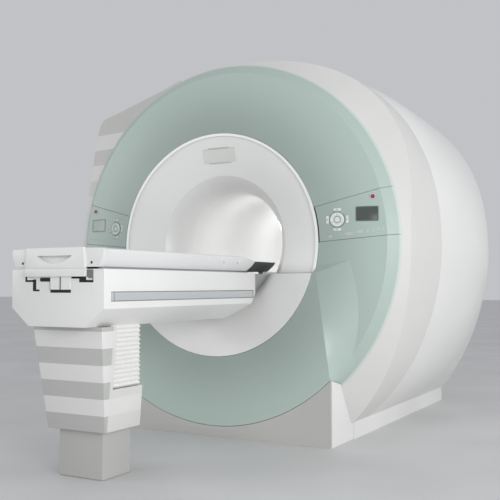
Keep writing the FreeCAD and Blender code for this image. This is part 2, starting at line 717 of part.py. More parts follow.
deck_low = D.table_top - D.deck_thick
dock_low = deck_low - D.dock_height
dock_hole = box((-D.dock_half, D.table_end - 100, dock_low), (D.dock_half, D.table_end + 100, FAR))
slab_start = D.table_start - 2
# a fixed lip under the sliding end plate, so that the plate passes over the deck
lip = box((-D.plate_half, slab_start - D.end_plate, D.lip_low),
          (D.plate_half, D.table_start + D.table_wall / 2, D.plate_low - D.slide_gap))
cut(fuse(table_solid(size(0)), lip), table_solid(D.table_wall), dock_hole, label="table_body_cover")
deck_inset = D.table_wall + D.layer_gap
deck_half = D.table_half - deck_inset
box((-deck_half, D.table_start + deck_inset, deck_low), (deck_half, D.table_end - deck_inset, D.table_top),
    "table_deck")
box((-D.dock_half + 1, D.table_end - 50, dock_low), (D.dock_half - 1, bridge_start, deck_low), "docking_beam")

rails = []
accents = []
rail_top = D.top_low - D.slide_gap
for side in (-1, 1):
    low_x = D.rail_half * side - D.rail_width / 2
    high_x = low_x + D.rail_width
    rails.append(box((low_x, D.table_start + 40, D.table_top), (high_x, D.table_end - 12, rail_top)))
    rails.append(box((low_x, bridge_start, D.bridge_top), (high_x, bridge_end, rail_top)))
    low_x, high_x = between(D.table_half, D.table_half + D.accent_proud, side)
    accents.append(box((low_x, D.accent_start, D.accent_low), (high_x, D.accent_end, D.accent_high)))
    for start in (D.accent_start - D.cap_length, D.accent_end):
        accents.append(box((low_x, start, D.accent_low), (high_x, start + D.cap_length, D.accent_high)))
group(*rails, label="guide_rails")
group(*accents, label="accent_rails")

belt_inner = D.pulley_radius + D.slide_gap
belt_half = D.pulley_width / 2


def belt_loop(radius, half_width):
    """A stadium round both pulleys."""
    front = rod(radius, half_width * 2, (-half_width, D.pulley_front, D.pulley_height), "X")
    rear = rod(radius, half_width * 2, (-half_width, D.pulley_rear, D.pulley_height), "X")
    middle = box((-half_width, D.pulley_front, D.pulley_height - radius),
                 (half_width, D.pulley_rear, D.pulley_height + radius))
    return fuse(front, rear, middle)


cut(belt_loop(belt_inner + D.belt_thick, belt_half), belt_loop(belt_inner, belt_half + 5), label="drive_belt")
axle_radius = D.pulley_radius / 3
for word, level in (("drive_pulley", D.pulley_front), ("idler_pulley", D.pulley_rear)):
    wheel = rod(D.pulley_radius, D.pulley_width, (-belt_half, level, D.pulley_height), "X")
    hole = rod(axle_radius + D.slide_gap, D.pulley_width * 3, (-D.pulley_width, level, D.pulley_height), "X")
    cut(wheel, hole, label=word)

axles = []
axle_half = belt_half + 30
for level in (D.pulley_front, D.pulley_rear):
    parts = [rod(axle_radius, axle_half * 2, (-axle_half, level, D.pulley_height), "X")]
    for side in (-1, 1):
        low_x, high_x = between(belt_half + D.bracket_gap, belt_half + D.bracket_gap + D.bracket_thick, side)
        parts.append(box((low_x, level - D.bracket_half, D.pulley_height - D.bracket_half),
                         (high_x, level + D.bracket_half, deck_low)))
    axles.append(fuse(*parts))
group(*axles, label="pulley_brackets")
motor_start = axle_half + D.layer_gap
motor = rod(D.motor_radius, D.motor_length, (motor_start, D.pulley_front, D.pulley_height), "X")
motor_foot = box((motor_start + 20, D.pulley_front - 30, D.pulley_height),
                 (motor_start + 120, D.pulley_front + 30, deck_low))
fuse(motor, motor_foot, label="drive_motor")

# ---------------------------------------------------------------- sliding tabletop
EDGE = 8
lip_in = D.table_half - D.top_lip
rim_start = D.table_start + D.end_slab
under_half = D.table_half - D.top_taper
waist_half = D.table_half - EDGE
dish_half = lip_in - 26
dish_edge = D.top_floor
right_flank = [(under_half, D.top_low), (waist_half, D.top_waist), (D.table_half, D.top_high - EDGE),
               (waist_half, D.top_high)]
left_flank = [(-point[0], point[1]) for point in reversed(right_flank)]
tray = [*right_flank, (lip_in, D.top_high - 4), (dish_half, dish_edge, D.dish_radius),
        (-dish_half, dish_edge), (-lip_in, D.top_high - 4), *left_flank]
nose_tip = D.top_end + D.nose_length
tray_beam = pushed("XZ", tray, rim_start, nose_tip + D.nose_lean - rim_start)
lean_high = D.top_end + D.nose_lean
beyond = pushed("YZ", [(D.top_end, D.top_low), (nose_tip + 200, D.top_low),
                       (nose_tip + 200, D.top_high + EDGE), (lean_high - D.nose_slope, D.top_high + EDGE),
                       (lean_high - D.nose_slope, D.top_high), (lean_high, D.nose_high)],
                -D.table_half - EDGE, D.table_half * 2 + EDGE * 2)
cut(tray_beam, beyond, label="tabletop")
nose_room = pushed("YZ", [(D.top_end, D.top_low), (nose_tip, D.top_low),
                          (nose_tip + D.nose_lean, D.nose_high), (lean_high, D.nose_high)],
                   -D.table_half - EDGE, D.table_half * 2 + EDGE * 2)
nose_beam = pushed("XZ", tray, D.top_end - EDGE, D.nose_length + D.nose_lean + EDGE)
common(nose_beam, nose_room, "tabletop_nose")

slab_outline = [*right_flank, (D.plate_top_half, D.plate_high - 2), (-D.plate_top_half, D.plate_high - 2),
                *left_flank]
closing_slab = pushed("XZ", slab_outline, slab_start, D.end_slab + 2)
front_plate = pushed("XZ", [(-D.plate_half, D.plate_low), (D.plate_half, D.plate_low),
                            (D.plate_top_half, D.plate_high), (-D.plate_top_half, D.plate_high)],
                     slab_start - D.end_plate, D.end_plate)
grip = pushed("XZ", [(-D.grip_half, D.grip_top, -D.grip_radius), (D.grip_half, D.grip_top)],
              slab_start - D.end_plate - 1, D.grip_depth + 1)
pins = [box((side * D.pin_place - D.pin_size / 2, slab_start - 1, D.pin_height - D.pin_size / 2),
            (side * D.pin_place + D.pin_size / 2, slab_start + D.pin_size, D.pin_height + D.pin_size / 2))
        for side in (-1, 1)]
cut(fuse(closing_slab, front_plate), grip, *pins, label="tabletop_end_plate")

sockets = []
for place_along in (D.socket_start, D.socket_start + D.socket_pitch):
    near = D.table_start + place_along
    outer_x = -D.table_half + 6
    sockets.append(box((outer_x, near, D.top_high),
                       (outer_x + D.socket_width, near + D.socket_length, D.top_high + D.socket_height)))
group(*sockets, label="coil_sockets")


# ---------------------------------------------------------------- pedestal
def pedestal_solid(inset, low, high):
    """The tapered pedestal between two heights, drawn in by an inset."""
    span = D.table_bottom.value - D.ped_low.value

    def rectangle(level):
        share = (level - D.ped_low.value) / span
        half = D.ped_half_low.value + share * (D.ped_half_top.value - D.ped_half_low.value) - inset
        front = D.ped_front_low.value + share * (D.ped_front_top.value - D.ped_front_low.value) + inset
        back = D.ped_back.value - inset
        return Part.makePolygon([V(-half, front, level), V(half, front, level), V(half, back, level),
                                 V(-half, back, level), V(-half, front, level)])

    piece = add("Part::Feature")
    piece.Shape = Part.makeLoft([rectangle(size(low).value), rectangle(size(high).value)], True, True)
    return piece


ped_room = pedestal_solid(D.ped_wall.value, D.ped_low - 50, D.table_bottom + 50)
ped_skin = cut(pedestal_solid(0, D.ped_low, D.table_bottom), ped_room)
gaiter_start = D.ped_front_low + D.corner_strip
cut(ped_skin, box((-FAR, gaiter_start, D.bellows_low), (FAR, 0, FAR)), label="pedestal_cover")
pleat = (D.table_bottom - D.bellows_low) / D.bellows_count
right_edge = []
for step in range(int(D.bellows_count.value)):
    level = D.bellows_low + pleat * step
    right_edge.append((D.bellows_half, level))
    right_edge.append((D.bellows_half + D.pleat_depth, level + pleat / 2))
right_edge.append((D.bellows_half, D.table_bottom))
left_edge = [(-point[0], point[1]) for point in reversed(right_edge)]
gaiter_end = D.ped_back - 10
gaiter_length = gaiter_end - gaiter_start - D.cover_gap
gaiter = pushed("XZ", right_edge + left_edge, gaiter_start + D.cover_gap, gaiter_length)
inner_half = D.bellows_half - D.bellows_wall
gaiter_room = box((-inner_half, gaiter_start + D.cover_gap + D.bellows_wall, 0),
                  (inner_half, gaiter_end - D.bellows_wall, FAR))
cut(gaiter, gaiter_room, label="pedestal_bellows")

middle = (D.ped_front_low + D.ped_back) / 2
stand = box((-D.stand_half, D.ped_front_low + D.stand_inset, 0), (D.stand_half, D.ped_back - 20, D.ped_low))
shelf_half = D.ped_half_low - D.ped_wall - D.cover_gap
shelf_top = D.ped_low + D.stand_thick
shelf = box((-shelf_half, D.ped_front_low + D.ped_wall + D.cover_gap * 2, D.ped_low),
            (shelf_half, D.ped_back - D.ped_wall - D.cover_gap, shelf_top))
fuse(stand, shelf, label="pedestal_stand")
column_reach = D.column_depth / 2
inner_column = D.column_half - D.column_wall
inner_reach = column_reach - D.column_wall
split = (D.ped_low + D.table_bottom) / 2 + D.column_split
outer_box = box((-D.column_half, middle - column_reach, shelf_top),
                (D.column_half, middle + column_reach, split))
column_room = box((-inner_column - D.slide_gap, middle - inner_reach, shelf_top + 20),
                  (inner_column + D.slide_gap, middle + inner_reach, split))
cut(outer_box, column_room, label="lift_column_outer")
box((-inner_column, middle - inner_reach + D.slide_gap, shelf_top + D.column_split),
    (inner_column, middle + inner_reach - D.slide_gap, D.table_bottom), "lift_column_inner")

# ---------------------------------------------------------------- check and write
doc.recompute()
faults = []
for piece in doc.Objects:
    if "Invalid" in piece.State or "Error" in piece.State:
        faults.append(f"{piece.Label}: {piece.State}")
for piece in nodes:
    if piece.Shape.isNull() or not piece.Shape.isValid() or not piece.Shape.Solids:
        faults.append(f"{piece.Label}: no valid solid")
if faults:
    raise RuntimeError("; ".join(faults))
for piece in nodes:
    piece.Shape.exportStep(f"parts/{piece.Label}.step")
    room = piece.Shape.BoundBox
    corners = (room.XMin, room.XMax, room.YMin, room.YMax, room.ZMin, room.ZMax)
    print(piece.Label, len(piece.Shape.Solids), [round(number) for number in corners])
print(len(nodes), "nodes")
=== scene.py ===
import bmesh
import bpy
import json
import math
from mathutils import Matrix, Vector


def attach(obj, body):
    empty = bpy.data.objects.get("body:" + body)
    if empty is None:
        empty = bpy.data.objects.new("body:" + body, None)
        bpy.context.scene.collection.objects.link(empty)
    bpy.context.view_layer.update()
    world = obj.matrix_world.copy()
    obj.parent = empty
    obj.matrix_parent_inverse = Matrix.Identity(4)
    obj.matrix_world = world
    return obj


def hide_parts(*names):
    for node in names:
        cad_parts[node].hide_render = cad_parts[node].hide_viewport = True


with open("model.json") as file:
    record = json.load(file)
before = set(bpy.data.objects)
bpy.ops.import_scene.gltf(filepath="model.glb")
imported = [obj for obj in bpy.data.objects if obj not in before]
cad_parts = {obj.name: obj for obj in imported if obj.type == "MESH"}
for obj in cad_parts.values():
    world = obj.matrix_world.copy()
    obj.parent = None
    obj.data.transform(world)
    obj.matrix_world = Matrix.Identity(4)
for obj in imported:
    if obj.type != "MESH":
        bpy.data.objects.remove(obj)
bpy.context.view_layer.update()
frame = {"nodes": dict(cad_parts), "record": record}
scene = bpy.context.scene
scene.view_settings.view_transform = "Standard"
nodes = frame["nodes"]

# ---------------------------------------------------------------- camera, floor and light
EYE = Vector((2.246, -4.635, 0.799))
YAW = math.radians(28.9)
PITCH = math.radians(2.52)
LENS = 57.85
SENSOR = 36


def stand_camera():
    """The view that shows the free end, the front face and the right flank."""
    camera = bpy.data.objects.new("camera", bpy.data.cameras.new("camera"))
    scene.collection.objects.link(camera)
    camera.data.sensor_width = SENSOR
    camera.data.lens = LENS
    camera.location = EYE
    camera.rotation_euler = (math.radians(90) + PITCH, 0, YAW)
    scene.camera = camera


def soft_lamp(name, spot, aim, width, power):
    """A broad lamp that looks at a point."""
    lamp = bpy.data.objects.new(name, bpy.data.lights.new(name, "AREA"))
    scene.collection.objects.link(lamp)
    lamp.data.shape = "RECTANGLE"
    lamp.data.size = width
    lamp.data.size_y = width * 0.7
    lamp.data.energy = power
    lamp.location = spot
    lamp.rotation_euler = (Vector(aim) - Vector(spot)).to_track_quat("-Z", "Y").to_euler()


# ---------------------------------------------------------------- shader maths
class Term:
    """A socket that takes part in sums; each operator adds its Math node."""

    def __init__(self, paint, socket):
        self.paint = paint
        self.socket = socket

    def math(self, operation, *others):
        values = dict(enumerate((self, *others)))
        return self.paint.node("ShaderNodeMath", dict(operation=operation), values)

    def __add__(self, other):
        return self.math("ADD", other)

    def __radd__(self, other):
        return self.math("ADD", other)

    def __mul__(self, other):
        return self.math("MULTIPLY", other)

    def __rmul__(self, other):
        return self.math("MULTIPLY", other)

    def __sub__(self, other):
        return self.math("SUBTRACT", other)

    def __rsub__(self, other):
        return self.paint.node("ShaderNodeMath", dict(operation="SUBTRACT"), {0: other, 1: self})

    def __truediv__(self, other):
        return self.math("DIVIDE", other)

    def __gt__(self, other):
        return self.math("GREATER_THAN", other)

    def __lt__(self, other):
        return self.math("LESS_THAN", other)

    def ramp(self, low, high):
        """Rises from 0 to 1 between two values, softly."""
        smooth = dict(interpolation_type="SMOOTHSTEP")
        return self.paint.node("ShaderNodeMapRange", smooth, {0: self, 1: low, 2: high})


class Paint:
    """One finish: a Principled shader and the nodes that feed it."""

    def __init__(self, name, color, roughness, **fixed):
        self.material = bpy.data.materials.new(name)
        self.material.use_nodes = True
        self.tree = self.material.node_tree
        self.shader = self.tree.nodes["Principled BSDF"]
        self.shader.inputs["Base Color"].default_value = (*color, 1)
        self.shader.inputs["Roughness"].default_value = roughness
        for socket, value in fixed.items():
            self.shader.inputs[socket.replace("_", " ")].default_value = value
        self.place = self.node("ShaderNodeTexCoord", {}, {}, "Object")
        split = self.node("ShaderNodeSeparateXYZ", {}, {0: self.place}, None)
        self.x, self.y, self.z = (Term(self, split.outputs[i]) for i in range(3))

    def node(self, kind, settings, values, output=0):
        made = self.tree.nodes.new(kind)
        for key, value in settings.items():
            setattr(made, key, value)
        for key, value in values.items():
            if isinstance(value, Term):
                self.tree.links.new(value.socket, made.inputs[key])
            else:
                made.inputs[key].default_value = value
        return made if output is None else Term(self, made.outputs[output])

    def noise(self, scale, detail=3.0, rough=0.5):
        values = {"Vector": self.place, "Scale": scale, "Detail": detail, "Roughness": rough}
        return self.node("ShaderNodeTexNoise", {}, values)

    def blend(self, mask, under, over):
        """One colour laid over another where the mask is 1."""
        wrap = [value if isinstance(value, Term) else (*value, 1) for value in (under, over)]
        return self.node("ShaderNodeMix", dict(data_type="RGBA"), {0: mask, 6: wrap[0], 7: wrap[1]}, 2)

    def set(self, **terms):
        for socket, term in terms.items():
            self.tree.links.new(term.socket, self.shader.inputs[socket.replace("_", " ")])
        return self

    def bump(self, height, strength=0.12, distance=0.0004):
        values = {"Strength": strength, "Distance": distance, "Height": height}
        return self.set(Normal=self.node("ShaderNodeBump", {}, values))


PAINT_GRAIN = 900
TONE_DRIFT = 0.035


def tone(color, share):
    """A colour made darker or lighter by a share."""
    return tuple(min(1, part * share) for part in color)


def drift(paint, scale=1.3):
    """A slow wander of tone over the whole piece."""
    return paint.noise(scale, 2.0).ramp(0.35, 0.7)


def handling(paint, scale=14):
    """Faint marks left by hands and cloths."""
    return paint.noise(scale, 5.0, 0.65).ramp(0.5, 0.8)


def orange_peel(paint, grain=PAINT_GRAIN):
    """The fine pebble of sprayed paint."""
    paint.bump(paint.noise(grain, 2.0) * 0.6 + paint.noise(grain * 0.2, 2.0))


def moulded(name, color, roughness=0.34, grain=PAINT_GRAIN, **fixed):
    """Painted moulding: a fine orange peel, slow tone drift and faint handling marks."""
    paint = Paint(name, color, roughness, **fixed)
    colour = paint.blend(drift(paint), tone(color, 1 - TONE_DRIFT), tone(color, 1 + TONE_DRIFT))
    paint.set(Base_Color=colour, Roughness=handling(paint) * 0.08 + roughness - 0.02)
    orange_peel(paint, grain)
    return paint.material


# heights and depths that the pieces share: the tunnel's axis, the face of the funnel's rim, its radius
BORE = 1.018
FACE = -0.943
FUNNEL = 0.6

WHITE = (0.80, 0.80, 0.785)
GREEN = (0.375, 0.455, 0.42)
GREEN_DRIFT = (0.50, 0.56, 0.52)
# colour of the painted highlight along the green ring's outer edge
GREEN_HIGHLIGHT = (0.74, 0.79, 0.76)
PALE = (0.71, 0.705, 0.685)
# darker tone of the collar's bands, also used as painted shade above the shoulder
PALE_BAND_AND_SHADE = (0.45, 0.45, 0.425)

white = moulded("cover white", WHITE)
bright = moulded("trim white", (0.88, 0.88, 0.88), 0.25)
lining = moulded("tunnel white", (0.78, 0.78, 0.77), 0.55)


def green_finish():
    """Sage green, with painted shade deeper beside the funnel, painted light out at the shoulder and a
    painted highlight line along the outer edge.
    """
    paint = Paint("cover green", GREEN, 0.36)
    rise = paint.z - BORE
    reach = (paint.x * paint.x + rise * rise).math("SQRT")
    # painted shade near the funnel, painted light towards the shoulder
    colour = paint.blend(reach.ramp(0.58, 0.96), tone(GREEN, 0.86), tone(GREEN, 1.22))
    colour = paint.blend(drift(paint, 1.6) * 0.12, colour, GREEN_DRIFT)
    # painted highlight: a light line along the ring's outer edge
    colour = paint.blend(reach.ramp(0.984, 0.992) * 0.55, colour, GREEN_HIGHLIGHT)
    paint.set(Base_Color=colour, Roughness=handling(paint, 16) * 0.07 + 0.33)
    orange_peel(paint)
    return paint.material


def banded(name, light, dark, fades):
    """Pale finish with level bands in a darker tone, where the mask that fades gives is 1."""
    paint = Paint(name, light, 0.42)
    colour = paint.blend(drift(paint), tone(light, 0.97), tone(light, 1.03))
    paint.set(Base_Color=paint.blend(fades(paint), colour, dark), Roughness=handling(paint) * 0.08 + 0.38)
    orange_peel(paint)
    return paint.material


BAND = 0.094
BAND_TOP = 1.808
PEDESTAL_BAND = 0.069
PEDESTAL_FOOT = 0.2


def collar_bands_and_shade(paint):
    """Bands on the left cheek of the collar, with painted shade making it dark all over above its shoulder,
    and fading out below.
    """
    step = ((paint.z - BAND_TOP) / (BAND * 2)).math("FRACT")
    # above the shoulder the whole cheek takes the dark tone: painted shade, not a band
    band = (step > 0.5).math("MAXIMUM", paint.z > BAND_TOP)
    cheek = (paint.x * -1).ramp(0.30, 0.31)
    front = (paint.y * -1).ramp(0.70, 0.72)
    fade = paint.z.ramp(1.10, 1.62)
    return band * cheek * front * fade * 0.6


def pedestal_bands(paint):
    """Bands round the pedestal, stronger on its front."""
    step = ((paint.z - PEDESTAL_FOOT) / (PEDESTAL_BAND * 2)).math("FRACT")
    front = (paint.y * -1).ramp(2.035, 2.045)
    return (step < 0.5) * (front * 0.5 + 0.14)


green = green_finish()
collar_finish = banded("collar grey", PALE, PALE_BAND_AND_SHADE, collar_bands_and_shade)
pedestal_finish = banded("pedestal white", (0.74, 0.74, 0.72), (0.36, 0.365, 0.35), pedestal_bands)
base_grey = moulded("base grey", (0.50, 0.50, 0.475), 0.45)
top_white = moulded("tabletop white", (0.76, 0.765, 0.765), 0.25, 600)
key_finish = moulded("key plastic", (0.72, 0.76, 0.74), 0.4)
red_finish = moulded("stop red", (0.34, 0.035, 0.075), 0.3)
dark_finish = moulded("dark plastic", (0.045, 0.048, 0.05), 0.5)
accent_finish = moulded("accent grey", (0.50, 0.525, 0.535), 0.3)
gaiter_finish = moulded("gaiter white", (0.80, 0.795, 0.78), 0.55)
steel_finish = moulded("painted steel", (0.55, 0.56, 0.57), 0.4, Metallic=0.3)
metal_finish = moulded("anodised metal", (0.62, 0.63, 0.65), 0.32, Metallic=0.9)
resin_finish = moulded("cast resin", (0.45, 0.33, 0.14), 0.5)
belt_finish = moulded("belt rubber", (0.03, 0.03, 0.03), 0.7)
window_finish = moulded("lamp window", (0.70, 0.71, 0.68), 0.2, 1400)


def screen_finish():
    """Two displays: a pale one on the left panel, a dark one with a lit corner on the right."""
    paint = Paint("screen", (0.05, 0.065, 0.06), 0.12, Coat_Weight=0.6)
    corner = paint.x.ramp(0.84, 0.90) * (paint.z * -1).ramp(-1.16, -1.13)
    dark = paint.blend(corner * 0.45, (0.062, 0.078, 0.072), (0.36, 0.38, 0.36))
    paint.set(Base_Color=paint.blend(paint.x < 0, dark, (0.42, 0.47, 0.44)))
    return paint.material


screen = screen_finish()
mark_finish = Paint("printed mark", (0.10, 0.13, 0.12), 0.5).material
pale_mark = Paint("pale mark", (0.62, 0.67, 0.64), 0.45).material
rim_shade = Paint("window rim", (0.52, 0.52, 0.51), 0.4).material
shaded_mark = Paint("shaded mark", (0.24, 0.30, 0.275), 0.5).material
# a darker copy of the pale mark for the left panel: painted shade
pale_mark_in_shade = Paint("pale mark in shade", (0.46, 0.53, 0.50), 0.5).material
# near black: used for dark parts, and as painted shade in gaps, channels and mouths
dark_and_recess_shade = Paint("dark parts and recess shade", (0.012, 0.012, 0.013), 0.75).material
shade_finish = Paint("shaded recess", (0.20, 0.20, 0.195), 0.6).material

FINISHES = {
    "cover_white": white, "cover_green": green, "cover_grey": collar_finish,
    "key_plastic": key_finish, "stop_red": red_finish, "screen": screen,
    "steel": steel_finish, "epoxy": resin_finish, "window": window_finish,
    "belt_rubber": belt_finish, "aluminium": metal_finish, "motor_black": dark_finish,
    "dark_grey": dark_finish, "bellows": gaiter_finish, "tube_white": lining,
    "top_white": top_white, "striped_white": pedestal_finish, "trim_white": bright,
}
# a darker copy of the key plastic for the left panel's keys, dial ring and centre button: painted shade
shaded_key = moulded("shaded key plastic", (0.52, 0.59, 0.56), 0.4)
KEYS = ("up", "down", "in", "out")
SHADED_KEYS = ["centre_button_left", "dial_ring_left"] + [f"key_{word}_left" for word in KEYS]
OWN_FINISH = {
    "base_front_panel": base_grey, "accent_rails": accent_finish, "pedestal_stand": base_grey,
    **{name: shaded_key for name in SHADED_KEYS},
}

body_of = {part: body for body, parts in frame["record"]["behaviour"]["bodies"].items() for part in parts}
slot_of = {part["node"]: part["material_slot"] for part in frame["record"]["subparts"]}


def finish_of(name):
    return OWN_FINISH.get(name, FINISHES[slot_of[name]])


def dress_frame():
    """Every CAD piece takes its own finish, or that of its slot."""
    for name, node in nodes.items():
        for slot in node.material_slots:
            slot.material = finish_of(name)


FLOOR_REACH = 40


def lay_floor():
    mesh = bpy.data.meshes.new("floor")
    corners = [(across * FLOOR_REACH, along * FLOOR_REACH, 0)
               for across, along in ((-1, -1), (1, -1), (1, 1), (-1, 1))]
    mesh.from_pydata(corners, [], [(0, 1, 2, 3)])
    floor = bpy.data.objects.new("floor", mesh)
    scene.collection.objects.link(floor)
    mesh.materials.append(moulded("floor", (0.66, 0.66, 0.66), 0.6, 60))


def glow(name, spot, power):
    """A bare point of light, which the camera doesn't see."""
    lamp = bpy.data.objects.new(name, bpy.data.lights.new(name, "POINT"))
    scene.collection.objects.link(lamp)
    lamp.data.energy = power
    lamp.data.shadow_soft_size = 0
    lamp.location = spot


SKY = (0.95, 0.965, 1, 1)
SKY_STRENGTH = 0.56
TUNNEL_LAMPS = ((-0.45, 0.75), (0.15, 1.3), (0.7, 1.5))
TUNNEL_LAMP_HEIGHT = 1.12


def light_room():
    world = bpy.data.worlds.new("room")
    scene.world = world
    world.use_nodes = True
    sky = world.node_tree.nodes["Background"]
    sky.inputs["Color"].default_value = SKY
    sky.inputs["Strength"].default_value = SKY_STRENGTH
    soft_lamp("key", (4.8, -4.6, 1.5), (0.3, -0.8, 0.9), 2.8, 140)
    soft_lamp("fill", (-4.2, -4.8, 2.4), (0, -0.8, 0.8), 3.4, 52)
    soft_lamp("side", (5.4, 0.6, 2.4), (0.8, 0.2, 1.0), 3.4, 44)
    for number, (along, power) in enumerate(TUNNEL_LAMPS):
        glow(f"tunnel_{number}", (0, along, TUNNEL_LAMP_HEIGHT), power)


# ---------------------------------------------------------------- pieces added to the frame
def show(name, shape, finish, body, smooth=False):
    """Turns a bmesh into a piece that rides on a body and takes the finish it is given."""
    bmesh.ops.recalc_face_normals(shape, faces=shape.faces)
    for face in shape.faces:
        face.smooth = smooth
    mesh = bpy.data.meshes.new(name)
    shape.to_mesh(mesh)
    shape.free()
    piece = bpy.data.objects.new(name, mesh)
    scene.collection.objects.link(piece)
    mesh.materials.append(finish)
    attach(piece, body)
    return piece


def prism(name, outline, place, finish, body="root", hole=None):
    """An outline, perhaps with a hole of as many corners, between the two levels that place gives."""
    shape = bmesh.new()
    loops = [[shape.verts.new(place(*corner, level)) for corner in loop]
             for loop in (outline, hole or []) for level in (0, 1)]
    count = len(outline)
    for low, high in (loops[:2], loops[2:]):
        for i in range(len(low)):
            j = (i + 1) % count
            shape.faces.new((low[i], low[j], high[j], high[i]))
    if hole:
        for outer, inner in ((loops[0], loops[2]), (loops[1], loops[3])):
            for i in range(count):
                j = (i + 1) % count
                shape.faces.new((outer[i], outer[j], inner[j], inner[i]))
    else:
        shape.faces.new(loops[0])
        shape.faces.new(loops[1])
    return show(name, shape, finish, body)


def rounded(middle, wide, tall, radius, steps=5):
    """A rectangle with round corners."""
    points = []
    for quarter, (across, upward) in enumerate(((1, 1), (-1, 1), (-1, -1), (1, -1))):
        centre_x = middle[0] + across * (wide / 2 - radius)
        centre_z = middle[1] + upward * (tall / 2 - radius)
        for step in range(steps + 1):
            turn = math.pi / 2 * (quarter + step / steps)
            points.append((centre_x + radius * math.cos(turn), centre_z + radius * math.sin(turn)))
    return points


def disc(middle, radius, steps=24):
    """A circle's corners."""
    return [(middle[0] + radius * math.cos(2 * math.pi * i / steps),
             middle[1] + radius * math.sin(2 * math.pi * i / steps)) for i in range(steps)]


def soften(name, width):
    """A copy of a CAD piece with its sharp edges rounded, shown in its place."""
    shape = bmesh.new()
    shape.from_mesh(nodes[name].data)
    bmesh.ops.remove_doubles(shape, verts=shape.verts, dist=1e-5)
    bmesh.ops.dissolve_limit(shape, angle_limit=math.radians(1), verts=shape.verts, edges=shape.edges)
    sharp = [edge for edge in shape.edges
             if edge.is_manifold and edge.calc_face_angle() > math.radians(35)]
    bmesh.ops.bevel(shape, geom=sharp, offset=width, segments=3, profile=0.5,
                    affect="EDGES", clamp_overlap=True)
    piece = show(f"{name}_rounded", shape, finish_of(name), body_of[name], smooth=True)
    piece.data.set_sharp_from_angle(angle=math.radians(40))
    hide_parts(name)


SOFTENED = {
    "tabletop": 0.004, "tabletop_end_plate": 0.0015, "tabletop_nose": 0.005, "coil_sockets": 0.006,
    "table_body_cover": 0.0015, "pedestal_cover": 0.003, "accent_rails": 0.0014, "base_front_panel": 0.003,
    "pedestal_stand": 0.006,
}
for side in ("left", "right"):
    for word in KEYS:
        SOFTENED[f"key_{word}_{side}"] = 0.0042
    SOFTENED[f"centre_button_{side}"] = 0.002
    SOFTENED[f"stop_button_{side}"] = 0.002
    SOFTENED[f"dial_ring_{side}"] = 0.0018

# ---------------------------------------------------------------- marks on the control panels
RING_SLOPE = 0.062 / 0.34
PANEL_X = 0.79
PANEL_Y = FACE + 0.036
PANEL_Z = BORE + 0.115
PANEL_TURN = math.radians(10)
PANEL_TILT = math.radians(-1.5)
DIAL = (-0.097, -0.006)
STOP = (0.082, 0.105)
DISPLAY = (0.053, 0.02)
KEY_REACH = 0.05
NOTCH_REACH = 0.0275
MARK = 0.0005
THIN = 0.0016
PILL_TALL = 0.011
PILLS = ((0.040, 0.083, -0.072), (0.097, 0.132, -0.062))
SPOTS = ((-0.034, -0.084), (0.153, -0.059), (0.180, -0.057), (0.206, -0.052), (0.228, -0.050))
SPOT_REACH = 0.0062


def on_ring(x, z, level):
    """A hair over the dished ring, or a hair under it."""
    depth = (math.hypot(x, z - BORE) - FUNNEL) * RING_SLOPE
    return Vector((x, FACE + depth + (2 * level - 1) * MARK, z))


def panel_matrix(side):
    """The place and lean of a control panel's face."""
    turn = Matrix.Rotation(PANEL_TURN * side, 4, "Z") @ Matrix.Rotation(PANEL_TILT, 4, "X")
    return Matrix.Translation((PANEL_X * side, PANEL_Y, PANEL_Z)) @ turn


